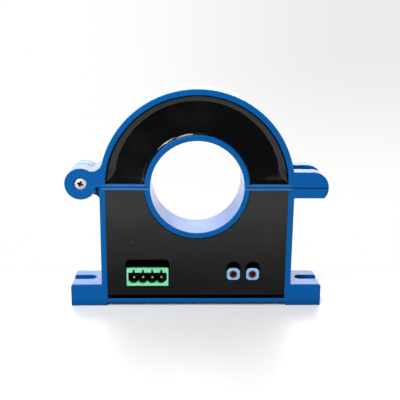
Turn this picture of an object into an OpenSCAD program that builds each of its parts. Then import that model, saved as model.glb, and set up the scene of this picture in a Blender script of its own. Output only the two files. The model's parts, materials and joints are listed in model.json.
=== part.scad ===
// Split-core Hall current transformer. Two potted plastic trays close around the cable.
// The upper tray swings open on the hinge at the left; a screw in the right lug holds it shut.
// X is the width, Y the depth with the open tray fronts towards -Y, and Z is up from the feet.

/* [Window and body] */
// Diameter of the cable window
window_d = 38; // [32:0.5:46]
// Wall of the tube round the window
tube_wall = 2.3; // [1.6:0.1:3.5]
// Width of the body over its side walls, and diameter of the domed top
body_w = 78.8; // [74:0.2:98]
// Depth of the body from front rim to back
body_depth = 20; // [17:0.5:30]
// Height of the window's centre, where the two halves part
seam_z = 50.8; // [50:0.2:66]
// Side and dome wall
side_wall = 2.4; // [1.6:0.1:3]
// Back wall of both trays
back_wall = 2.3; // [1.5:0.1:4]
// Bottom wall of the lower tray
bottom_wall = 2; // [1.5:0.1:4]
// Wall that closes each half at the seam
seam_wall = 1.15; // [0.8:0.05:2]

/* [Feet] */
// Reach of a foot outside the side wall
foot_reach = 12.8; // [9:0.1:20]
// Height of a foot
foot_h = 9.4; // [6:0.1:14]
// Depth of a foot, flush with the front rim
foot_depth = 16.9; // [12:0.1:17]
// Round of a foot's outer top edge
foot_round = 1.2; // [0.5:0.1:2.5]
// Width of the open-ended fixing slot
slot_w = 4.5; // [3.2:0.1:6]
// Distance of the slot's closed end from the side wall
slot_inset = 3.15; // [1.5:0.05:5]
// Slot's middle behind the front rim
slot_back = 9; // [6:0.1:11]
// How far the body is raised between the feet
underside_relief = 1.2; // [0.5:0.1:3]
// Width of each foot's pad under the body
pad_overlap = 2; // [1:0.1:5]

/* [Hinge] */
// Radius of the hinge barrel
barrel_r = 6.4; // [5:0.1:8]
// Gap between the barrel and the side wall
barrel_gap = 1.1; // [0.6:0.1:3]
// Hinge axis above the seam
barrel_rise = 1.35; // [0.5:0.05:3]
// Length of the barrel, from the front rim
barrel_len = 18.6; // [15:0.1:20]
// Length of the upper half's knuckle, at the front
front_knuckle = 10.2; // [7:0.1:12]
// Clearance between a knuckle and the other half
knuckle_gap = 0.3; // [0.2:0.05:0.6]
// Top of the web above the seam
web_rise = 6.6; // [4:0.1:7]
// Fillet between web and dome
web_fillet = 4; // [2:0.1:6]
// Fillet between web and lower side wall
lower_fillet = 3.2; // [3:0.1:6]
// Lower end of the web below the barrel
web_drop = 1.75; // [0.5:0.05:3]
// Lower web behind the front rim, beside the upper half's knuckle
web_set_back = 3.5; // [0:0.1:6]
// Hinge screw thread diameter
hinge_screw_d = 2.5; // [2:0.1:3]
// Hinge screw head diameter
hinge_head_d = 4.8; // [4.2:0.1:6]
// Hinge screw head height
hinge_head_h = 1.8; // [1:0.1:2.2]

/* [Closing lug] */
// Radius of the lug's round end
lug_r = 6.55; // [5:0.05:8]
// Centre of the round end outside the side wall
lug_out = 7.35; // [6:0.05:12]
// Thickness of the lower lug
lower_lug_t = 4.3; // [3.8:0.1:5]
// Width of the groove over the lug
groove_w = 7.5; // [6.6:0.1:9]
// Depth of the groove
groove_h = 2.4; // [1.5:0.1:3]
// Middle of groove and screw behind the front rim
groove_back = 10.6; // [9:0.1:12]
// Closing screw's axis outside the side wall
closure_out = 5.9; // [5:0.05:8]
// Counterbore for washer and screw head
counterbore_d = 8.2; // [7.2:0.1:10]
// Counterbore floor above the seam
closure_seat = 2.2; // [1.5:0.1:3]
// Closing screw thread diameter
closure_d = 3; // [2.5:0.1:3.5]
// Closing screw length under its head
closure_len = 6; // [5:0.1:6.5]

/* [Core and potting] */
// Axial thickness of the core
core_t = 11; // [8:0.5:11.5]
// Radial width of the core
core_w = 8.7; // [6:0.1:11]
// Potting around the core
core_gap = 1; // [0.5:0.1:2]
// Potting surface behind the rim, upper half
upper_recess = 2; // [0.5:0.1:3]
// Potting surface behind the rim, lower half
lower_recess = 0.4; // [0.2:0.1:1]
// Creep of the upper potting up the walls as it sets
meniscus_r = 1.6; // [0.5:0.1:2.5]

/* [Terminal header] */
// Contact spacing
contact_pitch = 3.81; // [3:0.01:5.08]
// Header width beyond its contacts' own pitch
header_ends = 2.06; // [1.2:0.01:3]
// Header height
header_h = 7.6; // [7:0.1:8.5]
// Header length, mouth to board
header_len = 9.2; // [8:0.1:10]
// Header centre left of the window axis
header_x = -20.35; // [-23:0.05:-18]
// Header centre above the mounting face
header_z = 12.6; // [11:0.05:14]
// Side of a square contact pin
pin_w = 0.8; // [0.6:0.1:1.2]
// Contact pins above the header's underside
pin_rise = 2.9; // [2:0.1:4.5]
// Pin tip behind the mouth
pin_recess = 2.4; // [1:0.1:4]

/* [Trimmers] */
// Trimmer width
trimmer_w = 5.5; // [5:0.1:6.5]
// Trimmer height
trimmer_h = 5; // [4.5:0.1:6.5]
// Middle between the two trimmers, right of the window axis
trimmer_x = 19.4; // [17:0.05:22]
// Spacing of the trimmers
trimmer_pitch = 8.05; // [7.5:0.05:9]
// Trimmer centre above the mounting face
trimmer_z = 13.5; // [12:0.05:15]
// Trimmer face behind the rim
trimmer_recess = 0.9; // [0.4:0.1:3]
// Rotor diameter
rotor_d = 3; // [2.4:0.1:3.6]

/* [Circuit board] */
// Board thickness
board_t = 1.6; // [0.8:0.1:2]
// Board clear of the tray's walls
board_gap = 1.6; // [0.8:0.1:3]
// Top edge of the board above the mounting face
board_top = 22; // [18:0.5:26]
// Hall sensor size across, along the window axis and through the gap
hall_size = [4.1, 3, 1.55]; // [1:0.05:5]

/* [Hidden] */
$fn = 96;
eps = 0.01;
run = 0.05;
reach = 200;

blue = [0.01, 0.31, 0.62];
black = [0.06, 0.06, 0.07];
iron = [0.45, 0.46, 0.48];
steel = [0.78, 0.78, 0.76];
brass = [0.78, 0.62, 0.3];
green = [0.1, 0.5, 0.3];
board_green = [0.05, 0.3, 0.12];
trimmer_blue = [0.25, 0.5, 0.85];
rotor_red = [0.35, 0.09, 0.05];

// Body
front = -body_depth / 2;
back = body_depth / 2;
floor_y = back - back_wall;
window_r = window_d / 2;
tube_r = window_r + tube_wall;
body_r = body_w / 2;
cavity_r = body_r - side_wall;
cavity_z = underside_relief + bottom_wall;
foot_x = body_r + foot_reach;
slot_r = slot_w / 2;
slot_y = front + slot_back;

// Hinge
barrel_x = -body_r - barrel_gap - barrel_r;
barrel_z = seam_z + barrel_rise;
knuckle_y = front + front_knuckle;
barrel_end = front + barrel_len;
knuckle_split = 0.25;
head_sink = 0.2;
head_play = 0.15;
hinge_seat = front + head_sink + hinge_head_h;
hinge_nut_af = 2 * hinge_screw_d;
hinge_nut_t = 0.8 * hinge_screw_d;
nut_sink = 0.3;
tip_sink = 0.4;
hinge_nut_y = barrel_end - hinge_nut_t - nut_sink;

// Lug and closing screw
lug_x = body_r + lug_out;
closure_x = body_r + closure_out;
closure_y = front + groove_back;
groove_z = seam_z + lug_r - groove_h;
seat_z = seam_z + closure_seat;
washer_t = 0.5;
washer_d = counterbore_d - 1.2;
closure_head_d = closure_d + 2.5;
closure_head_h = 0.7 * closure_d;
closure_nut_af = closure_d + 2.5;
closure_nut_t = 0.8 * closure_d;
closure_nut_z = seam_z - lower_lug_t + nut_sink;
nut_play = 0.2;
swing_room = 0.35;
closure_hole_d = closure_d + 2 * swing_room;
closure_core_d = closure_d - 0.5;

// Core
core_in = tube_r + core_gap;
core_out = core_in + core_w;
core_back = floor_y - core_gap;
core_front = core_back - core_t;
core_y = (core_front + core_back) / 2;
hall_x = (core_in + core_out) / 2;
hall_top = seam_z - seam_wall;
lower_pole = hall_top - hall_size.z;
upper_pole = seam_z + seam_wall;

// Header, board and trimmers
contacts = 4;
header_w = contacts * contact_pitch + header_ends;
header_low = header_z - header_h / 2;
board_y = front + header_len;
board_back = board_y + board_t;
board_x = cavity_r - board_gap;
board_low = cavity_z + 0.9;
pin_z = header_low + pin_rise;
header_floor = 1.8;
header_side = 0.7;
header_bottom = 0.8;
header_top_wall = 1.8;
scallop_depth = 1.15;
bay_merge = 0.12;
key_w = 0.9;
key_h = 1.3;
key_depth = 1.5;
tail = 1.9;
header_pocket_depth = 2;
header_pocket_gap = 0.2;
header_pocket_side = 0.45;
header_pocket_top = 3.7;
header_pocket_low = 5.5;
pocket_round = 1.8;
trimmer_pocket_depth = 3;
trimmer_pocket_side = 0.25;
trimmer_pocket_top = 3.2;
trimmer_chamfer = 1;
leg_x = 0.3 * trimmer_w;
leg_z = 0.22 * trimmer_h;
leg_r = 0.3;
trimmer_face = front + trimmer_recess;
rotor_t = 1.2;
chip_size = [4.9, 1.5, 3.9];
regulator_size = [6.5, 1.6, 3.5];
chip_x = -3.4;
regulator_x = 4.6;
chip_z = 10.5;
lead_room = cavity_r - core_out;
lead_w = lead_room / 2;
lead_x = core_out + lead_room / 10;
lead_t = 0.8;
lead_low = board_top - 9;
lead_top = hall_top - 0.2;

function contact_x(i) = header_x + (i - (contacts - 1) / 2) * contact_pitch;
function trimmer_at(side) = trimmer_x + side * trimmer_pitch / 2;

// Extrudes an outline drawn in X and Z from y0 back to y1
module slab(y0, y1) {
    translate([0, y1, 0]) rotate([90, 0, 0]) linear_extrude(y1 - y0) children();
}

// A straight round bar along Y
module bar(x, z, y0, y1, r) {
    slab(y0, y1) translate([x, z]) circle(r);
}

// A hexagonal bar along Y, by its width across flats
module hex_bar(x, z, y0, y1, af) {
    slab(y0, y1) translate([x, z]) circle(d = af / cos(30), $fn = 6);
}

module span(x0, x1, z0, z1) {
    translate([x0, z0]) square([x1 - x0, z1 - z0]);
}

module window_disc(r) {
    translate([0, seam_z]) circle(r);
}

module barrel_disc(grow = 0) {
    translate([barrel_x, barrel_z]) circle(barrel_r + grow);
}

// Closure screw's round stack about its own upright axis
module at_closure(z) {
    translate([closure_x, closure_y, z]) children();
}

// Outlines of the two halves, in X and Z
module upper_outline() {
    intersection() {
        window_disc(body_r);
        span(-reach, reach, seam_z, reach);
    }
}

module lower_outline() {
    difference() {
        span(-body_r, body_r, underside_relief, seam_z);
        window_disc(window_r);
    }
}

module upper_cavity() {
    difference() {
        intersection() {
            window_disc(cavity_r);
            span(-reach, reach, seam_z + seam_wall, reach);
        }
        window_disc(tube_r);
    }
}

module lower_cavity() {
    difference() {
        span(-cavity_r, cavity_r, cavity_z, seam_z - seam_wall);
        window_disc(tube_r);
    }
}

// Web from the barrel to the dome, with its round inner corner
module upper_web() {
    corner_z = seam_z + web_rise + web_fillet;
    corner_x = -sqrt(pow(body_r + web_fillet, 2) - pow(corner_z - seam_z, 2));
    touch = body_r / (body_r + web_fillet);
    difference() {
        polygon([
            [barrel_x, seam_z], [barrel_x, seam_z + web_rise], [corner_x, seam_z + web_rise],
            [corner_x * touch, seam_z + (corner_z - seam_z) * touch], [-window_r, corner_z - web_fillet],
            [-window_r, seam_z]]);
        translate([corner_x, corner_z]) circle(web_fillet);
        window_disc(cavity_r);
    }
}

// Web from the barrel to the lower side wall, with its round corner underneath
module lower_web() {
    low = barrel_z - barrel_r - web_drop;
    difference() {
        polygon([
            [-body_r, low], [-cavity_r, low], [-cavity_r, seam_z], [-body_r - lower_fillet, seam_z],
            [-body_r - lower_fillet, low + lower_fillet]]);
        translate([-body_r - lower_fillet, low]) circle(lower_fillet);
    }
}

module lug_outline() {
    translate([lug_x, seam_z]) circle(lug_r);
    span(cavity_r, lug_x, seam_z - lug_r, seam_z + lug_r);
}

// One foot's outline, with the right foot as drawn
module foot_outline() {
    span(body_r - pad_overlap, foot_x, 0, foot_h - foot_round);
    span(body_r - pad_overlap, foot_x - foot_round, 0, foot_h);
    translate([foot_x - foot_round, foot_h - foot_round]) circle(foot_round);
}

module foot() {
    closed_end = body_r + slot_inset + slot_r;
    difference() {
        slab(front, front + foot_depth) foot_outline();
        translate([closed_end, slot_y, -1]) cylinder(h = foot_h + 2, r = slot_r);
        translate([closed_end, slot_y - slot_r, -1]) cube([foot_reach, slot_w, foot_h + 2]);
        slab(front - 1, floor_y) span(-cavity_r, cavity_r, cavity_z, seam_z);
    }
}

module lower_housing() {
    color(blue) difference() {
        union() {
            difference() {
                slab(front, back) lower_outline();
                slab(front - 1, floor_y) lower_cavity();
            }
            foot();
            mirror([1, 0, 0]) foot();
            slab(front, back) intersection() {
                lug_outline();
                span(body_r - side_wall, reach, seam_z - lower_lug_t, seam_z);
            }
            slab(front + web_set_back, knuckle_y + knuckle_split) difference() {
                lower_web();
                barrel_disc(knuckle_gap);
            }
            slab(knuckle_y + knuckle_split, barrel_end) {
                lower_web();
                barrel_disc();
            }
        }
        bar(barrel_x, barrel_z, front, back, hinge_screw_d / 2 + run);
        hex_bar(barrel_x, barrel_z, hinge_nut_y, back, hinge_nut_af + 2 * run);
        at_closure(seam_z - lug_r) cylinder(h = lug_r + 1, d = closure_hole_d);
        at_closure(closure_nut_z + closure_nut_t - lug_r)
            cylinder(h = lug_r, d = (closure_nut_af + 2 * run) / cos(30), $fn = 6);
    }
}

module upper_housing() {
    color(blue) difference() {
        union() {
            difference() {
                slab(front, back) upper_outline();
                slab(front - 1, floor_y) upper_cavity();
                slab(front - 1, back + 1) window_disc(window_r);
            }
            difference() {
                slab(front, back) intersection() {
                    lug_outline();
                    span(body_r - side_wall, reach, seam_z, reach);
                }
                translate([body_r, closure_y - groove_w / 2, groove_z]) cube([reach, groove_w, reach]);
                slab(front - 1, floor_y) upper_cavity();
                at_closure(seat_z) cylinder(h = reach, d = counterbore_d);
                at_closure(seam_z - 1) cylinder(h = reach, d = closure_hole_d);
            }
            slab(front, knuckle_y) {
                upper_web();
                barrel_disc();
            }
            slab(knuckle_y, barrel_end) difference() {
                upper_web();
                barrel_disc(knuckle_gap);
            }
        }
        bar(barrel_x, barrel_z, front - 1, back, hinge_screw_d / 2 + run);
        bar(barrel_x, barrel_z, front - 1, hinge_seat, hinge_head_d / 2 + head_play);
    }
}

module core_ring() {
    difference() {
        window_disc(core_out);
        window_disc(core_in);
    }
}

module lower_core() {
    color(iron) slab(core_front, core_back) intersection() {
        core_ring();
        span(-reach, reach, 0, lower_pole);
    }
}

module upper_core() {
    color(iron) slab(core_front, core_back) intersection() {
        core_ring();
        span(-reach, reach, upper_pole, reach);
    }
}

// Section of the upper potting from tube to dome, creeping up both walls at the front
module upper_potting_section() {
    surface = -front - upper_recess;
    inner = tube_r + meniscus_r;
    outer = cavity_r - meniscus_r;
    difference() {
        span(tube_r, cavity_r, -floor_y, surface + meniscus_r);
        for (x = [inner, outer]) translate([x, surface + meniscus_r]) circle(meniscus_r);
        span(inner, outer, surface, surface + 2 * meniscus_r);
    }
}

module upper_potting() {
    color(black) difference() {
        translate([0, 0, seam_z]) rotate([90, 0, 0]) rotate_extrude(angle = 180) upper_potting_section();
        slab(front - 1, back + 1) span(-reach, reach, 0, seam_z + seam_wall);
        upper_core();
    }
}

// Recess in the potting round the header, wider above it
module header_pocket() {
    beside = header_w / 2 + header_pocket_gap;
    side = header_w / 2 + header_pocket_side;
    low = header_low + header_pocket_low;
    top = header_low + header_h + header_pocket_top;
    corner = side - pocket_round;
    translate([header_x, 0]) {
        span(-beside, beside, header_low, top - pocket_round);
        span(-side, side, low, top - pocket_round);
        span(-corner, corner, low, top);
        for (x = [-corner, corner]) translate([x, top - pocket_round]) circle(pocket_round);
    }
}

module trimmer_pocket(side) {
    half = trimmer_w / 2 + trimmer_pocket_side;
    low = trimmer_z - trimmer_h / 2;
    arch_z = low + trimmer_h + trimmer_pocket_top - half;
    translate([trimmer_at(side), 0]) {
        span(-half, half, low, arch_z);
        translate([0, arch_z]) circle(half);
    }
}

module lower_potting() {
    color(black) difference() {
        slab(front + lower_recess, floor_y) lower_cavity();
        slab(front, front + header_pocket_depth) header_pocket();
        slab(front, front + trimmer_pocket_depth) {
            trimmer_pocket(-1);
            trimmer_pocket(1);
        }
        header_block();
        for (side = [-1, 1]) {
            trimmer_block(side);
            trimmer_legs(side);
            hall_sensor(side);
            sensor_leads(side);
        }
        for (i = [0 : contacts - 1]) contact_tail(i);
        lower_core();
        circuit_board_blank();
        amplifier_chip();
        regulator_chip();
    }
}

module circuit_board_blank() {
    slab(board_y, board_back) difference() {
        span(-board_x, board_x, board_low, board_top);
        window_disc(core_out + core_gap);
    }
}

module circuit_board() {
    color(board_green) difference() {
        circuit_board_blank();
        for (i = [0 : contacts - 1]) contact_tail(i);
        for (side = [-1, 1]) trimmer_legs(side);
    }
}

module amplifier_chip() {
    size = chip_size;
    color(black) translate([chip_x - size.x / 2, board_y - size.y, chip_z - size.z / 2]) cube(size);
}

module regulator_chip() {
    size = regulator_size;
    color(black) translate([regulator_x - size.x / 2, board_y - size.y, chip_z - size.z / 2]) cube(size);
}

module hall_sensor(side) {
    color(black)
        translate([side * hall_x - hall_size.x / 2, core_y - hall_size.y / 2, lower_pole]) cube(hall_size);
}

// Flat lead strip from a sensor: out over the core's edge, forward, and down to the board
module sensor_leads(side) {
    color(brass) mirror([side < 0 ? 1 : 0, 0, 0]) {
        slab(core_y - lead_t / 2, core_y + lead_t / 2)
            span(hall_x + hall_size.x / 2, lead_x + lead_w, lead_top - lead_t, lead_top);
        slab(min(board_y - lead_t, core_y - lead_t / 2), max(board_y, core_y + lead_t / 2))
            span(lead_x, lead_x + lead_w, lead_top - lead_t, lead_top);
        slab(board_y - lead_t, board_y) span(lead_x, lead_x + lead_w, lead_low, lead_top);
    }
}

module header_block() {
    slab(front, board_y) translate([header_x, header_z]) square([header_w, header_h], center = true);
}

// Mouth of the header: flat above, a round bay under each contact
module header_mouth() {
    half = header_w / 2 - header_side;
    bay_r = contact_pitch / 2 + bay_merge;
    low = header_low + header_bottom;
    span(header_x - half, header_x + half, low + scallop_depth, header_low + header_h - header_top_wall);
    intersection() {
        span(header_x - half, header_x + half, low, header_z);
        for (i = [0 : contacts - 1]) translate([contact_x(i), low + bay_r]) circle(bay_r);
    }
}

module terminal_header() {
    color(green) difference() {
        header_block();
        slab(front - 1, board_y - header_floor) header_mouth();
        for (i = [0 : contacts - 1]) {
            contact_pin(i);
            slab(front - 1, front + key_depth)
                translate([contact_x(i) - key_w / 2, header_low + header_h - header_top_wall - eps])
                square([key_w, key_h]);
        }
    }
}

module contact_pin(i) {
    x = contact_x(i);
    color(steel) slab(front + pin_recess, board_back + tail)
        translate([x, pin_z]) square(pin_w, center = true);
}

module contact_tail(i) {
    slab(board_y, board_back + tail) translate([contact_x(i), pin_z]) square(pin_w, center = true);
}

module trimmer_outline() {
    w = trimmer_w / 2;
    h = trimmer_h / 2;
    c = trimmer_chamfer;
    polygon([
        [-w + c, -h], [w - c, -h], [w, -h + c], [w, h - c],
        [w - c, h], [-w + c, h], [-w, h - c], [-w, -h + c]]);
}

module trimmer_block(side) {
    slab(trimmer_face, board_y) translate([trimmer_at(side), trimmer_z]) trimmer_outline();
}

module trimmer_legs(side) {
    for (leg = [-1, 0, 1])
        bar(trimmer_at(side) + leg * leg_x, trimmer_z - abs(leg) * leg_z, board_y, board_back + tail, leg_r);
}

module trimmer_body(side) {
    color(trimmer_blue) {
        difference() {
            trimmer_block(side);
            bar(trimmer_at(side), trimmer_z,
                trimmer_face - 1, trimmer_face + rotor_t + run, rotor_d / 2 + run);
        }
        trimmer_legs(side);
    }
}

// Rotor with an arrow-shaped slot: a cross whose one arm ends in a point
module trimmer_rotor(side) {
    arm = 0.36 * rotor_d;
    w = 0.16 * rotor_d;
    color(rotor_red) difference() {
        bar(trimmer_at(side), trimmer_z, trimmer_face, trimmer_face + rotor_t, rotor_d / 2);
        slab(trimmer_face - 1, trimmer_face + rotor_t / 2)
            translate([trimmer_at(side), trimmer_z]) rotate(35) {
            square([2 * arm, w], center = true);
            square([w, 2 * arm], center = true);
            polygon([[arm - 2 * w, -2 * w], [arm + w / 2, 0], [arm - 2 * w, 2 * w]]);
        }
    }
}

// Cross recess that narrows as it goes down, opening at z = 0 towards -z
module cross_recess(reach_r, depth) {
    w = 0.36 * reach_r;
    intersection() {
        for (turn = [0, 90])
            rotate(turn) translate([-reach_r, -w, -1]) cube([2 * reach_r, 2 * w, depth + 1]);
        translate([0, 0, -eps]) cylinder(h = depth + eps, r1 = reach_r, r2 = 0.35 * reach_r);
    }
}

// Pan head with its crown at z = 0 and its seat at z = h
module pan_head(d, h) {
    crown_r = d * 0.85;
    intersection() {
        cylinder(h = h, d = d);
        translate([0, 0, crown_r]) sphere(crown_r);
        translate([0, 0, -1]) cylinder(h = h + 1, r1 = d / 2 - h * 0.2, r2 = d / 2 + h * 0.9);
    }
}

module hinge_screw() {
    color(steel) translate([barrel_x, 0, barrel_z]) {
        translate([0, hinge_seat - run - hinge_head_h, 0]) rotate([-90, 0, 0]) difference() {
            union() {
                pan_head(hinge_head_d, hinge_head_h);
                cylinder(h = barrel_end - hinge_seat + hinge_head_h - tip_sink, d = hinge_screw_d);
            }
            rotate(15) cross_recess(hinge_head_d * 0.3, hinge_head_h * 0.7);
        }
    }
}

module hinge_nut() {
    color(steel) difference() {
        hex_bar(barrel_x, barrel_z, hinge_nut_y, hinge_nut_y + hinge_nut_t, hinge_nut_af);
        bar(barrel_x, barrel_z, front, back, hinge_screw_d / 2);
    }
}

module closure_nut() {
    color(steel) at_closure(closure_nut_z) difference() {
        cylinder(h = closure_nut_t, d = closure_nut_af / cos(30), $fn = 6);
        translate([0, 0, -1]) cylinder(h = closure_nut_t + 2, d = closure_d + nut_play);
    }
}

module closure_washer() {
    color(steel) at_closure(seat_z) difference() {
        cylinder(h = washer_t, d = washer_d);
        translate([0, 0, -1]) cylinder(h = washer_t + 2, d = closure_d + nut_play);
    }
}

module closure_screw() {
    head_top = seat_z + washer_t + closure_head_h;
    color(steel) at_closure(head_top) mirror([0, 0, 1]) difference() {
        union() {
            pan_head(closure_head_d, closure_head_h);
            cylinder(h = closure_head_h + closure_len, d = closure_core_d);
        }
        cross_recess(closure_head_d * 0.3, closure_head_h * 0.7);
    }
}

lower_housing();
lower_potting();
lower_core();
hall_sensor(-1);  // hall_sensor_left
hall_sensor(1);  // hall_sensor_right
sensor_leads(-1);  // sensor_leads_left
sensor_leads(1);  // sensor_leads_right
circuit_board();
amplifier_chip();
regulator_chip();
terminal_header();
contact_pin(0);  // contact_pin_1
contact_pin(1);  // contact_pin_2
contact_pin(2);  // contact_pin_3
contact_pin(3);  // contact_pin_4
trimmer_body(-1);  // trimmer_body_zero
trimmer_body(1);  // trimmer_body_gain
trimmer_rotor(-1);  // trimmer_rotor_zero
trimmer_rotor(1);  // trimmer_rotor_gain
hinge_screw();
hinge_nut();
closure_nut();
upper_housing();
upper_potting();
upper_core();
closure_washer();
closure_screw();
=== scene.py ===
"""Looks of the split-core current transformer: finishes, poured resin, the screw's thread, light and camera.

Everything is in metres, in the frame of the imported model: X across, -Y out of the tray fronts, Z up.
"""

import json
import math
from collections import namedtuple

import bpy
import bmesh
import numpy as np
from mathutils import Matrix, Vector, noise
from mathutils.geometry import delaunay_2d_cdt


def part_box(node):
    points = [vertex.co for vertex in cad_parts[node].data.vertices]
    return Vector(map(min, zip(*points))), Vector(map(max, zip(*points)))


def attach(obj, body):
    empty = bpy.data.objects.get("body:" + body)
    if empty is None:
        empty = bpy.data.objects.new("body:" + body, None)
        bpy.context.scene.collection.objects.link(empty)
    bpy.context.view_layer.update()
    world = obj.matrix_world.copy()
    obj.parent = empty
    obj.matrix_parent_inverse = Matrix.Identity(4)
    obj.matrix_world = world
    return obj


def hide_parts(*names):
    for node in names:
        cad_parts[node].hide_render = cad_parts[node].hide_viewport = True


MM = 0.001

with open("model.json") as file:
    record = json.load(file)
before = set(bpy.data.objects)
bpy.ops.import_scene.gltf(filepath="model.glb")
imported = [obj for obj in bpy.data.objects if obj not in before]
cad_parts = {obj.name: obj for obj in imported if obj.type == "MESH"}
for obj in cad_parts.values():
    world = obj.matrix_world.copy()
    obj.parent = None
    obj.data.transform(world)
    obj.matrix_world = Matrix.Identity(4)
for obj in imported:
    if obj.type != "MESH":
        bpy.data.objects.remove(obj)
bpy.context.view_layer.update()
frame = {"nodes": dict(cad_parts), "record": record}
nodes = frame["nodes"]
scene = bpy.context.scene
window = next(m for m in frame["record"]["mounts"] if m["name"] == "cable_window")
window_z = window["pos_m"][2]


# ---------------------------------------------------------------- places, objects and node graphs


def front_of(node):
    """The Y of a node's front."""
    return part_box(node)[0][1]


def middle_of(node):
    low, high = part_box(node)
    return [(a + b) / 2 for a, b in zip(low, high)]


def add_object(name, data):
    obj = bpy.data.objects.new(name, data)
    scene.collection.objects.link(obj)
    return obj


def add_mesh(name, bm):
    mesh = bpy.data.meshes.new(name)
    bm.to_mesh(mesh)
    bm.free()
    return add_object(name, mesh)


def grey(value):
    return (value, value, value, 1)


def linear(r, g, b):
    """A colour given as it shows on screen, from 0 to 255, as the shader's linear value."""

    def one(value):
        value /= 255
        return value / 12.92 if value <= 0.04045 else ((value + 0.055) / 1.055) ** 2.4

    return (one(r), one(g), one(b), 1)


class Graph:
    """A short way to add nodes to one node tree, which starts empty."""

    def __init__(self, tree):
        self.tree = tree
        tree.nodes.clear()

    def fill(self, node, **inputs):
        """Links or sets a node's inputs, which are named, or _0, _1 by their place."""
        for key, value in inputs.items():
            socket = node.inputs[int(key[1:]) if key[0] == "_" else key.replace("_", " ")]
            if isinstance(value, bpy.types.NodeSocket):
                self.tree.links.new(value, socket)
            else:
                socket.default_value = value

    def add(self, kind, settings=None, **inputs):
        node = self.tree.nodes.new(kind)
        for key, value in (settings or {}).items():
            setattr(node, key, value)
        self.fill(node, **inputs)
        return node

    def calc(self, operation, *values):
        inputs = {f"_{i}": value for i, value in enumerate(values)}
        return self.add("ShaderNodeMath", {"operation": operation}, **inputs).outputs[0]

    def times(self, first, *others):
        for other in others:
            first = self.calc("MULTIPLY", first, other)
        return first

    def ramp(self, value, low, high, start=0.0, end=1.0, smooth=True):
        """Goes from start to end while the value goes from low to high."""
        kind = {"interpolation_type": "SMOOTHSTEP" if smooth else "LINEAR"}
        node = self.add("ShaderNodeMapRange", kind, _0=value, _1=low, _2=high, _3=start, _4=end)
        return node.outputs[0]

    def band(self, value, low, full, still, high):
        """Rises from low to full, and falls again from still to high."""
        return self.times(self.ramp(value, low, full), self.ramp(value, still, high, 1.0, 0.0))

    def axes(self, vector):
        return self.add("ShaderNodeSeparateXYZ", _0=vector).outputs

    def cloud(self, where, scale, detail):
        return self.add("ShaderNodeTexNoise", Vector=where, Scale=scale, Detail=detail).outputs["Fac"]

    def blend(self, amount, a, b):
        return self.add("ShaderNodeMix", {"data_type": "RGBA"}, _0=amount, _6=a, _7=b).outputs[2]

    def choose(self, amount, a, b):
        return self.add("ShaderNodeMixShader", _0=amount, _1=a, _2=b).outputs[0]


# ---------------------------------------------------------------- camera, floor and light

# The soft light from all round, what gloss sees high and low behind the object, and what it sees in front
SOFT_LIGHT = 0.22
BACK_GLOW = 5.0
LOW_GLOW = 1.7
DARK_ROOM = 0.01

# The floor's white for the camera, and its grey for light that bounces off it
FLOOR_WHITE = 0.83
FLOOR_BOUNCE = 0.6


def add_camera():
    """Slightly above the window and a touch to the left, with the whole front in view."""
    place = Vector((-7.25, -276.77, 115.11)) * MM
    down, turn, roll = 0.254, -0.0313, 0.0104
    data = bpy.data.cameras.new("camera")
    data.sensor_width = 36
    data.lens = 61.44
    data.clip_start = 0.01
    camera = add_object("camera", data)
    tilt = Matrix.Rotation(math.pi / 2 - down, 4, "X")
    aim = Matrix.Rotation(turn, 4, "Z") @ tilt @ Matrix.Rotation(roll, 4, "Z")
    camera.matrix_world = Matrix.Translation(place) @ aim
    scene.camera = camera


def add_world():
    """White for the camera, a little grey at the top right. In gloss, bright behind and dark in front."""
    world = bpy.data.worlds.new("studio")
    scene.world = world
    world.use_nodes = True
    g = Graph(world.node_tree)
    path = g.add("ShaderNodeLightPath").outputs
    way = g.axes(g.add("ShaderNodeTexCoord").outputs["Generated"])
    behind = g.ramp(way["Y"], -0.25, 0.3)
    above = g.ramp(way["Z"], 0.5, 0.95, 0.0, 0.8)
    glow = g.calc("ADD", g.ramp(way["Z"], 0.12, 0.4, 0.0, BACK_GLOW), LOW_GLOW)
    glow = g.times(behind, glow, g.ramp(way["Z"], 0.6, 0.8, 1.0, 0.0))
    studio = g.blend(g.calc("MAXIMUM", behind, above), grey(DARK_ROOM), grey(1.0))
    gloss = g.add("ShaderNodeBackground", Color=studio, Strength=g.calc("ADD", glow, 1.0))
    soft = g.add("ShaderNodeBackground", Color=(1.0, 0.99, 0.97, 1), Strength=SOFT_LIGHT)
    corner = g.times(g.ramp(way["X"], -0.15, 0.25), g.ramp(way["Z"], -0.25, -0.03))
    seen = g.add("ShaderNodeBackground", Color=g.blend(corner, grey(1.0), grey(0.84)), Strength=1.0)
    shiny = g.calc("MAXIMUM", path["Is Glossy Ray"], path["Is Transmission Ray"])
    unseen = g.choose(shiny, soft.outputs[0], gloss.outputs[0])
    g.add("ShaderNodeOutputWorld", Surface=g.choose(path["Is Camera Ray"], unseen, seen.outputs[0]))


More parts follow.
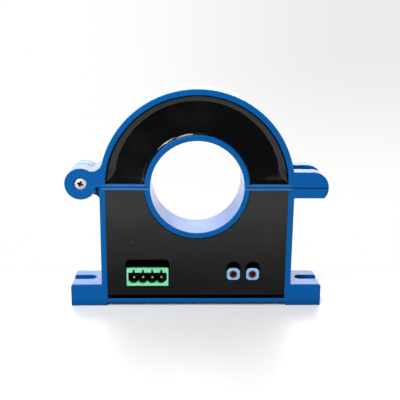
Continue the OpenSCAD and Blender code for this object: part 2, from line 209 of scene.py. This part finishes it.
def add_floor():
    """White table that fades into the white room. In gloss it is dim close to the object, where the object's
    shadow is painted, and far in front.
    """
    bm = bmesh.new()
    bmesh.ops.create_circle(bm, cap_ends=True, segments=96, radius=0.6)
    floor = add_mesh("floor", bm)
    material = bpy.data.materials.new("table")
    material.use_nodes = True
    g = Graph(material.node_tree)
    path = g.add("ShaderNodeLightPath").outputs
    place = g.add("ShaderNodeNewGeometry").outputs["Position"]
    at = g.axes(place)
    away = g.add("ShaderNodeVectorMath", {"operation": "LENGTH"}, _0=place).outputs["Value"]
    white = g.add("ShaderNodeBsdfPrincipled", Base_Color=grey(FLOOR_WHITE), Roughness=0.5).outputs[0]
    room = g.add("ShaderNodeBsdfTransparent").outputs[0]
    fade = g.calc("MAXIMUM", g.ramp(away, 0.12, 0.3), g.ramp(at["Y"], 0.0, 0.035))
    widen = g.times(g.calc("ADD", at["Y"], 0.235), -0.15)
    side = g.calc("SUBTRACT", g.calc("ABSOLUTE", at["X"]), widen)
    ahead = g.times(g.ramp(at["Y"], -0.25, -0.222, 1.0, 0.0), g.ramp(side, 0.07, 0.085, 1.0, 0.0))
    # What gloss sees in front: the object's painted shadow, dimmest close to it
    before = g.ramp(at["Y"], -0.03, -0.16, 0.2, 0.95, smooth=False)
    close = g.times(before, g.ramp(at["Y"], -0.02, -0.012, 1.0, 0.15))
    close = g.calc("MAXIMUM", close, g.ramp(at["Y"], 0.0, 0.02, 0.0, 1.0))
    near = g.add("ShaderNodeCombineColor", _0=close, _1=close, _2=close).outputs[0]
    glow = g.ramp(at["Y"], 0.02, 0.08, 1.0, 1.0 + LOW_GLOW)
    gloss = g.add("ShaderNodeEmission", Color=g.blend(ahead, near, grey(DARK_ROOM)), Strength=glow).outputs[0]
    bounce = g.add("ShaderNodeBsdfDiffuse", Color=grey(FLOOR_BOUNCE)).outputs[0]
    unseen = g.choose(path["Is Glossy Ray"], bounce, gloss)
    seen = g.choose(fade, white, room)
    g.add("ShaderNodeOutputMaterial", Surface=g.choose(path["Is Camera Ray"], unseen, seen))
    floor.data.materials.append(material)


def add_lamp(name, place, size, power):
    """A rectangular lamp that aims at the middle of the object."""
    data = bpy.data.lights.new(name, "AREA")
    data.shape = "RECTANGLE"
    data.size, data.size_y = size
    data.energy = power
    lamp = add_object(name, data)
    lamp.location = place
    aim = Vector((0, 0, 0.05)) - Vector(place)
    lamp.rotation_euler = aim.to_track_quat("-Z", "Y").to_euler()
    lamp.visible_camera = False
    return lamp


def add_lights():
    add_lamp("key", (-0.16, -0.3, 0.62), (0.3, 0.3), 3.3)
    add_lamp("side", (-0.3, -0.46, 0.35), (0.16, 0.16), 1.7)
    add_lamp("back", (0, 1.1, 0.5), (2.0, 0.62), 13).visible_glossy = False


# ---------------------------------------------------------------- finishes


def new_material(name):
    material = bpy.data.materials.new(name)
    material.use_nodes = True
    g = Graph(material.node_tree)
    shader = g.add("ShaderNodeBsdfPrincipled")
    g.add("ShaderNodeOutputMaterial", Surface=shader.outputs[0])
    return material, shader, g


def moulded(name, colour, darker, roughness=0.3, specular=0.5, grain=900.0, bump=0.05, extra=None):
    """Moulded or poured plastic: a little cloudy, with a fine skin. extra changes its colour further."""
    material, shader, g = new_material(name)
    where = g.add("ShaderNodeTexCoord").outputs["Object"]
    tone = g.blend(g.cloud(where, 45.0, 3.0), darker, colour)
    if extra:
        tone = extra(tone, where, g)
    gloss = g.ramp(g.cloud(where, 160.0, 4.0), 0.3, 0.7, roughness * 0.92, roughness * 1.08)
    skin = g.add("ShaderNodeBump", Height=g.cloud(where, grain, 2.0), Strength=bump, Distance=0.1 * MM)
    g.fill(shader, Base_Color=tone, Roughness=gloss, Normal=skin.outputs[0])
    g.fill(shader, IOR=1.5, Specular_IOR_Level=specular)
    return material


def metal(name, colour, roughness=0.2, metallic=1.0, extra=None):
    """Metal with a fine grain. A low metallic value makes it paler, as plating is under soft light."""
    material, shader, g = new_material(name)
    where = g.add("ShaderNodeTexCoord").outputs["Object"]
    grain = g.cloud(where, 1400.0, 3.0)
    duller = tuple(0.9 * c for c in colour[:3]) + (1,)
    tone = g.blend(grain, duller, colour)
    if extra:
        tone = extra(tone, where, g)
    gloss = g.ramp(grain, 0.3, 0.7, roughness * 0.85, roughness * 1.15)
    g.fill(shader, Base_Color=tone, Roughness=gloss, Metallic=metallic)
    return material


def housing_painted_light(tone, where, g):
    """Painted shade low down towards the floor, painted highlights in paler strips on the divider below and
    above the joint, and painted shade in the joint.
    """
    wall = 2.4 * MM
    tray_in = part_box("lower_potting")[1][0]
    tray_out = tray_in + wall
    at = g.axes(where)
    up = g.calc("SUBTRACT", at["Z"], window_z)
    # Painted shade: darker towards the floor, over the lowest 3 mm
    tone = g.blend(g.ramp(at["Z"], 0.2 * MM, 3.2 * MM, 0.3, 0.0), tone, linear(2, 40, 80))
    # Painted highlights: paler strips across the divider's front, just below and above the joint
    across = g.band(at["X"], -tray_out - 0.1 * MM, -tray_in, tray_in, tray_out)
    below = g.band(up, -1.15 * MM, -0.95 * MM, -0.1 * MM, 0.0)
    above = g.band(up, 0.6 * MM, 0.8 * MM, 1.1 * MM, 1.3 * MM)
    strip = g.calc("MAXIMUM", below, g.times(above, 0.7))
    front = g.ramp(at["Y"], -8.5 * MM, -8 * MM, 1.0, 0.0)
    tone = g.blend(g.times(strip, front, across, 0.1), tone, linear(150, 215, 250))
    # The shade ends before the barrel, is deeper on the lug, and keeps off the faces that close on each other
    joint = g.ramp(g.calc("ABSOLUTE", up), 0.14 * MM, 0.26 * MM, 1.0, 0.0)
    joint = g.times(joint, g.ramp(at["X"], -tray_out - 0.1 * MM, -tray_out))
    deeper = g.times(g.ramp(at["X"], tray_out - 0.2 * MM, tray_out), 0.45)
    level = g.calc("ABSOLUTE", g.axes(g.add("ShaderNodeTexCoord").outputs["Normal"])["Z"])
    shade = g.times(joint, g.calc("ADD", 0.45, deeper), g.ramp(level, 0.75, 0.9, 1.0, 0.0))
    return g.blend(shade, tone, linear(4, 22, 52))


def dial_ticks(tone, where, g):
    """Twelve short marks round each rotor."""
    ticks = 12.0
    zero, gain = middle_of("trimmer_rotor_zero"), middle_of("trimmer_rotor_gain")
    at = g.axes(where)
    second = g.calc("GREATER_THAN", at["X"], (zero[0] + gain[0]) / 2)
    across = g.calc("SUBTRACT", g.calc("SUBTRACT", at["X"], zero[0]), g.times(second, gain[0] - zero[0]))
    up = g.calc("SUBTRACT", at["Z"], zero[2])
    away = g.calc("SQRT", g.calc("ADD", g.times(across, across), g.times(up, up)))
    ray = g.ramp(g.calc("COSINE", g.times(g.calc("ARCTAN2", up, across), ticks)), 0.55, 0.75)
    ring = g.band(away, 1.5 * MM, 1.56 * MM, 1.9 * MM, 1.96 * MM)
    return g.blend(g.times(ray, ring, 0.9), tone, linear(16, 34, 70))


def deep(axis, near, far, dark, middle=None, reach=0.0):
    """Turns dark from near to far along an axis, as painted shade in a hole, and for the screws' darker
    recesses. With a middle, only within reach of it.
    """

    def change(tone, where, g):
        at = g.axes(where)
        amount = g.ramp(at[axis], near, far)
        if middle:
            line = {f"_{i}": at[axis] if "XYZ"[i] == axis else middle[i] for i in range(3)}
            line = g.add("ShaderNodeCombineXYZ", **line).outputs[0]
            away = g.add("ShaderNodeVectorMath", {"operation": "DISTANCE"}, _0=where, _1=line).outputs
            amount = g.times(amount, g.ramp(away["Value"], reach, reach + 0.1 * MM, 1.0, 0.0))
        return g.blend(amount, tone, dark)

    return change


def dust(tone, where, g):
    """A few pale specks of dust, and wide faint smears."""
    smear = g.ramp(g.cloud(where, 60.0, 2.0), 0.5, 0.75, 0.0, 0.006)
    cells = g.add("ShaderNodeTexVoronoi", Vector=where, Scale=230.0).outputs
    speck = g.ramp(cells["Distance"], 0.02, 0.045, 1.0, 0.0)
    some = g.ramp(g.axes(cells["Color"])["X"], 0.8, 0.82)
    tone = g.blend(smear, tone, grey(0.6))
    return g.blend(g.times(speck, some, 0.5), tone, grey(0.6))


def finishes():
    """One material for each material slot of the record."""
    header_y = front_of("terminal_header")
    pin_y = front_of("contact_pin_1")
    rotor_y = front_of("trimmer_rotor_zero")
    # Painted shade: the header's mouth turns dark green deeper in
    in_header = deep("Y", header_y + 0.3 * MM, header_y + 2.2 * MM, linear(8, 34, 20))
    # Painted shade down the pins' shafts behind the tips, tinted with the header's green
    down_pin = deep("Y", pin_y + 0.1 * MM, pin_y + 0.8 * MM, linear(60, 95, 75))
    # Painted shade in the rotor's slot, darker deeper in
    in_slot = deep("Y", rotor_y + 0.08 * MM, rotor_y + 0.3 * MM, linear(28, 4, 2))
    blue = linear(0, 90, 163), linear(0, 85, 155)
    black = linear(13, 14, 15), linear(10, 10, 11)
    chip = linear(28, 28, 30), linear(20, 20, 22)
    sleeve = linear(170, 165, 158), linear(150, 146, 140)
    board = linear(18, 92, 44), linear(12, 76, 36)
    green = linear(135, 235, 180), linear(122, 225, 168)
    pale_blue = linear(152, 200, 244), linear(136, 186, 238)
    red = linear(112, 20, 10), linear(84, 14, 8)
    return {
        "blue_housing": moulded("blue_plastic", *blue, 0.32, 0.12, extra=housing_painted_light),
        "black_potting": moulded("black_resin", *black, 0.06, 0.5, 300.0, 0.01, dust),
        "core_iron": metal("core_strip", linear(120, 122, 126), 0.5),
        "chip_black": moulded("chip_case", *chip, 0.5),
        "lead_ribbon": moulded("lead_sleeve", *sleeve, 0.5),
        "board_laminate": moulded("board_mask", *board, 0.35),
        "header_green": moulded("green_plastic", *green, 0.3, extra=in_header),
        "tinned_pin": metal("tin", linear(228, 228, 222), 0.3, 0.2, down_pin),
        "trimmer_blue": moulded("pale_blue_plastic", *pale_blue, 0.35, extra=dial_ticks),
        "rotor_red": moulded("rotor_plastic", *red, 0.4, 0.2, extra=in_slot),
        "steel_fastener": metal("bright_steel", linear(240, 238, 232), 0.24, 0.7),
    }


def screw_finish(node, axis, head, inwards):
    """Bright zinc, darker and browner deeper in the cross recess of the head, whose face is at head along the
    axis.
    """
    start, full = head + inwards * 0.15 * MM, head + inwards * 0.4 * MM
    recess_darkening = deep(axis, start, full, linear(38, 20, 8), middle_of(node), 1.5 * MM)
    nodes[node].data.materials[0] = metal("zinc_" + node, linear(252, 251, 248), 0.35, 0.1, recess_darkening)


def finish_nodes():
    """Each CAD node gets the finish of its slot, and the two screws get their own."""
    made = finishes()
    slots = {part["node"]: part["material_slot"] for part in frame["record"]["subparts"]}
    for name, obj in nodes.items():
        obj.data.materials.clear()
        obj.data.materials.append(made[slots[name]])
    screw_finish("hinge_screw", "Y", front_of("hinge_screw"), 1)
    screw_finish("closure_screw", "Z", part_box("closure_screw")[1][2], -1)


# ---------------------------------------------------------------- thread and edges

# Edge rounding of the carried-over pieces, in millimetres
EDGE_ROUND = {
    "lower_housing": 0.3,
    "upper_housing": 0.4,
    "terminal_header": 0.1,
    "trimmer_body_zero": 0.12,
    "trimmer_body_gain": 0.12,
    "hinge_screw": 0.06,
    "closure_screw": 0.06,
    "closure_washer": 0.06,
    "hinge_nut": 0.12,
    "closure_nut": 0.12,
    **{f"contact_pin_{i}": 0.2 for i in range(1, 5)},
}


def add_thread(node, body, top, root=1.2 * MM, crest=1.47 * MM, pitch=0.5 * MM, segments=28):
    """A helical ridge round a screw's shank, from its tip to top. It fades out in its first and last turn."""
    tip, flank = 0.35 * MM, 0.2 * MM
    x, y, _ = middle_of(node)
    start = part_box(node)[0][2] + tip
    steps = round((top - start) / pitch * segments)
    bm = bmesh.new()
    rings = []
    for k in range(steps + 1):
        turn = 2 * math.pi * k / segments
        z = start + pitch * k / segments
        out = root + (crest - root) * min(1, k / segments, (steps - k) / segments)
        profile = ((root, z - flank), (out, z), (root, z + flank))
        rings.append([bm.verts.new((x + r * math.cos(turn), y + r * math.sin(turn), h)) for r, h in profile])
    for one, two in zip(rings, rings[1:]):
        for i in range(3):
            bm.faces.new((one[i], one[(i + 1) % 3], two[(i + 1) % 3], two[i]))
    bm.faces.new(rings[0])
    bm.faces.new(rings[-1])
    bmesh.ops.recalc_face_normals(bm, faces=bm.faces)
    thread = add_mesh(node + "_thread", bm)
    thread.data.materials.append(nodes[node].data.materials[0])
    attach(thread, body)


def round_edges():
    """Small round edges on the carried-over pieces, by modifiers, with no change to the meshes' points."""
    for name, width in EDGE_ROUND.items():
        obj = nodes[name]
        for face in obj.data.polygons:
            face.use_smooth = True
        weld = obj.modifiers.new("weld", "WELD")
        weld.merge_threshold = 0.005 * MM
        flat = obj.modifiers.new("flat", "DECIMATE")
        flat.decimate_type = "DISSOLVE"
        flat.angle_limit = math.radians(0.3)
        bevel = obj.modifiers.new("edges", "BEVEL")
        bevel.width = width * MM
        bevel.segments = 3
        bevel.limit_method = "ANGLE"
        bevel.angle_limit = math.radians(32)
        bevel.use_clamp_overlap = False
        bevel.miter_outer = "MITER_ARC"
        normals = obj.modifiers.new("normals", "WEIGHTED_NORMAL")
        normals.keep_sharp = False


# ---------------------------------------------------------------- poured resin

# How resin climbs a kind of wall: the slope, how far out it starts and how soft the bend there is, both in mm
Creep = namedtuple("Creep", "slope width soft")

# How resin sinks in the pockets: the depth of front to cut away, the depth of the hollow, how far from the
# pocket's edge the hollow is that deep, and how round it is
Scoop = namedtuple("Scoop", "cut depth reach curve")

# Points of the surface lie this far apart, and beside the walls in rows at these parts of a creep's width
SPACING = 0.5 * MM
ROWS = (0.15, 0.35, 0.6, 0.85, 1.1)

# The unevenness of the surface
WAVE = 0.04 * MM
WAVE_LENGTH = 11 * MM


def distances(points, walls):
    """Distance from each point to the nearest of the straight wall stretches, in the X and Z plane."""
    nearest = np.full(len(points), 1.0)
    for a, b in walls:
        a, b = np.array(a), np.array(b)
        along = b - a
        t = np.clip((points - a) @ along / max(along @ along, 1e-18), 0, 1)
        nearest = np.minimum(nearest, np.hypot(*(points - a - t[:, None] * along).T))
    return nearest


def inside(points, walls):
    """Whether each point is in the area that the walls bound: a ray from it crosses an odd number of them."""
    crossings = np.zeros(len(points), int)
    for (ax, az), (bx, bz) in walls:
        if az == bz:
            continue
        between = (points[:, 1] < az) != (points[:, 1] < bz)
        at = ax + (points[:, 1] - az) / (bz - az) * (bx - ax)
        crossings += between & (points[:, 0] < at)
    return crossings % 2 == 1


def inward(a, b, walls):
    """The direction across a wall stretch that points into the area."""
    a, b = np.array(a), np.array(b)
    across = np.array((b[1] - a[1], a[0] - b[0])) / math.dist(a, b)
    return across if inside(np.array([(a + b) / 2 + across * 0.02 * MM]), walls)[0] else -across


def middles(stretches):
    return np.array([((a[0] + b[0]) / 2, (a[1] + b[1]) / 2) for a, b in stretches])


def by_kind(stretches, low, high, tube_r):
    """Sorts stretches of the rim by the wall they lie against. low and high are the potting's corners."""
    kinds = {}
    for stretch, (x, z) in zip(stretches, middles(stretches)):
        r = math.hypot(x, z - window_z)
        if abs(r - tube_r) < 0.1 * MM:
            kind = "tube"
        elif min(x - low[0], high[0] - x) < 0.1 * MM:
            kind = "side"
        elif abs(z - low[2]) < 0.05 * MM:
            kind = "low"
        elif abs(z - high[2]) < 0.05 * MM and high[2] < window_z:
            kind = "high"
        elif low[2] > window_z and r > tube_r + 5 * MM:
            kind = "dome"
        else:
            kind = "pocket"
        kinds.setdefault(kind, []).append(stretch)
    return kinds


def flat_place(vert):
    return (vert.co.x, vert.co.z)


def open_front(bm, low, high, skin, scoop):
    """Cuts the flat front away, and the pockets with it. Gives the tube's radius and the pockets' edges."""
    ahead = [f for f in bm.faces if f.normal.y < -0.05]
    front = {f for f in ahead if max(v.co.y for v in f.verts) < low[1] + skin}
    rim = [e for e in bm.edges if sum(f in front for f in e.link_faces) == 1]
    tube_r = min(math.hypot(v.co.x, v.co.z - window_z) for e in rim for v in e.verts)
    pockets = []
    if scoop:
        stretches = [tuple(map(flat_place, e.verts)) for e in rim]
        pockets = by_kind(stretches, low, high, tube_r)["pocket"]
        front |= {f for f in bm.faces if max(v.co.y for v in f.verts) < low[1] + scoop.cut}
    bmesh.ops.delete(bm, geom=list(front), context="FACES")
    return tube_r, pockets


def cut_rim(bm):
    """Cuts the open rim into short stretches. Gives its vertices, and the pairs of them that edges join."""
    for edge in [e for e in bm.edges if e.is_boundary]:
        cuts = int(edge.calc_length() / SPACING)
        if cuts:
            bmesh.ops.subdivide_edges(bm, edges=[edge], cuts=cuts)
    rim = [e for e in bm.edges if e.is_boundary]
    verts = list(dict.fromkeys(v for e in rim for v in e.verts))
    index = {v: i for i, v in enumerate(verts)}
    edges = [tuple(index[v] for v in e.verts) for e in rim]
    return verts, [e for e in edges if math.dist(*(flat_place(verts[i]) for i in e)) > 0.001 * MM]


def width_at(width, place):
    """A creep's width at each place: it is one number, or a function of the place."""
    return width(place) if callable(width) else np.full(len(place), width)


def strip_lines(walls, strips, every):
    """Each strip's inner line: its stretches of wall, moved inwards by the strip's width."""
    lines = []
    for kind, width in strips.items():
        for a, b in walls[kind]:
            across = inward(a, b, every) * width
            lines.append((tuple(a + across), tuple(b + across)))
    return lines


def pocket_lines(pockets, every):
    """The edges of the pockets as chains of short steps, left out where they lie against a wall."""
    chains = []
    for (a, b), gap in zip(pockets, distances(middles(pockets), every)):
        if gap > 0.12 * MM:
            parts = max(1, round(math.dist(a, b) / SPACING))
            chains.append([tuple(np.array(a) + (np.array(b) - a) * k / parts) for k in range(parts + 1)])
    return chains


def climb_points(walls, creep, every):
    """Rows of points beside the walls, where the resin climbs more than 0.2 mm wide."""
    points = []
    for kind, (_, width, _) in creep.items():
        middle = middles(walls[kind])
        across = np.array([inward(a, b, every) for a, b in walls[kind]])
        width = width_at(width, middle)
        for part in ROWS:
            row = middle + across * (width * part * MM)[:, None]
            clear = distances(row, every) > 0.04 * MM
            points += list(map(tuple, row[clear & (width > 0.2)]))
    return points


def grid_points(low, high, lines):
    """An even grid of staggered rows over the box, clear of the lines."""
    xs = np.arange(low[0], high[0], SPACING)
    zs = np.arange(low[2], high[2], SPACING * 0.87)
    grid = np.array([(x + (k % 2) * SPACING / 2, z) for k, z in enumerate(zs) for x in xs])
    return list(map(tuple, grid[distances(grid, lines) > SPACING * 0.45]))


def heights(place, level, walls, creep, pockets, scoop):
    """The resin's Y at each place: it climbs the walls, sinks in the pockets, and is a little uneven."""
    height = np.full(len(place), level)
    for kind, group in walls.items():
        if kind in creep:
            slope, width, soft = creep[kind]
            gap = (width_at(width, place) * MM - distances(place, group)) / (soft * MM)
            height -= slope * soft * MM * np.logaddexp(0, gap)
    for i, (x, z) in enumerate(place):
        spot = Vector((x, 0, z)) / WAVE_LENGTH
        height[i] += WAVE * (noise.noise(spot) + 0.3 * noise.noise(spot * 3.1))
    if pockets:
        gap = np.clip(distances(place, pockets) / scoop.reach, 0, 1)
        height += inside(place, pockets) * scoop.depth * (1 - (1 - gap) ** scoop.curve)
    return height


def stitch(bm, verts, place, height, origin, faces):
    """Joins the faces, each with whether it gets the painted-shade material, to the rim, whose vertices slide
    to the new height.
    """
    source = {s: i for i, group in enumerate(origin) for s in group}
    made = {}
    for i, vert in enumerate(verts):
        vert.co.y = height[source[i]]
        made.setdefault(source[i], vert)
    for corners, in_shade in faces:
        for i in corners:
            if i not in made:
                made[i] = bm.verts.new((place[i][0], height[i], place[i][1]))
        face = bm.faces.new([made[i] for i in corners])
        face.smooth = True
        face.material_index = int(in_shade)
    bmesh.ops.remove_doubles(bm, verts=bm.verts, dist=0.0001 * MM)
    bmesh.ops.recalc_face_normals(bm, faces=bm.faces)


def resin(name, node, shade_resin, level, creep, skin, strips, scoop=None):
    """Poured surface in place of the potting's flat front, joined to the rest of the potting.

    Far from any wall it lies at the Y given by level. The flat front is what reaches no deeper than skin. The
    pockets, strips of the given widths along some kinds of wall, and the potting's other faces get the second
    material, a near-black, unshiny resin that is painted shade.
    """
    low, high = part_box(node)
    bm = bmesh.new()
    bm.from_mesh(nodes[node].data)
    bmesh.ops.remove_doubles(bm, verts=bm.verts, dist=0.001 * MM)
    tube_r, pockets = open_front(bm, low, high, skin, scoop)
    for face in bm.faces:
        face.material_index = 1
    verts, edges = cut_rim(bm)
    points = [flat_place(v) for v in verts]
    every = [(points[i], points[j]) for i, j in edges]
    walls = by_kind(every, low, high, tube_r)
    lines = strip_lines(walls, strips, every)
    chains = pocket_lines(pockets, every) if pockets else []
    for chain in lines + chains:
        edges += [(i, i + 1) for i in range(len(points), len(points) + len(chain) - 1)]
        points += chain
    points += climb_points(walls, creep, every)
    points += grid_points(low, high, every + pockets + lines)
    flat, _, faces, origin, _, _ = delaunay_2d_cdt([Vector(p) for p in points], edges, [], 2, 1e-9)
    place = np.array([(p.x, p.y) for p in flat])
    height = heights(place, level, walls, creep, pockets, scoop)
    middle = np.array([place[list(f)].mean(axis=0) for f in faces])
    in_shade = inside(middle, pockets)
    for kind, width in strips.items():
        in_shade |= distances(middle, walls[kind]) < width * 0.98
    kept = [(f, m) for f, m, within in zip(faces, in_shade, inside(middle, every)) if within]
    stitch(bm, verts, place, height, origin, kept)
    obj = add_mesh(name, bm)
    obj.data.materials.append(nodes[node].data.materials[0])
    obj.data.materials.append(shade_resin)
    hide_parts(node)
    return obj


def dome_creep(place):
    """How far out the resin starts to climb the dome, in mm: more to the sides, nothing at the divider."""
    over = place[:, 1] - window_z
    rise = np.clip(over / np.hypot(place[:, 0], over), 0, 1)
    fade = np.clip((over - 1.3 * MM) / (7 * MM), 0, 1)
    return (3.3 - 1.1 * rise) * fade * fade * (3 - 2 * fade)


def tube_creep(place):
    """The same round the tube, fading out towards the closing lug."""
    return 0.95 * np.clip(1 - place[:, 0] / (8 * MM), 0, 1)


def pour_resin():
    """The upper tray is filled to 2 mm below its rim, and the lower one almost to the rim."""
    # Near-black and unshiny: painted shade for the pockets and the strips beside the walls
    shade_resin = moulded("painted_shade_resin", linear(3, 3, 4), linear(2, 2, 2), 0.7, 0.0)
    rim_y = front_of("upper_housing")
    climb = {
        "dome": Creep(0.26, dome_creep, 0.3),
        "tube": Creep(0.62, tube_creep, 0.15),
        "low": Creep(0.35, 0.5, 0.3),
    }
    upper = resin("resin_upper", "upper_potting", shade_resin, rim_y + 2 * MM, climb, 3 * MM, {"dome": 0.5 * MM})
    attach(upper, "upper_half")
    climb = {"low": Creep(0.3, 1.3, 0.25), "side": Creep(0.3, 0.3, 0.1)}
    scoop = Scoop(2.65 * MM, 1.55 * MM, 3.6 * MM, 1.8)
    strips = {"low": 1.45 * MM}
    lower = resin("resin_lower", "lower_potting", shade_resin, rim_y + 0.5 * MM, climb, 1 * MM, strips, scoop)
    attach(lower, "lower_half")


add_camera()
add_world()
add_floor()
add_lights()
finish_nodes()
in_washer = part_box("closure_washer")[0][2] + 0.2 * MM
add_thread("closure_screw", "closing_screw", in_washer)
round_edges()
pour_resin()

scene.view_settings.view_transform = "Standard"
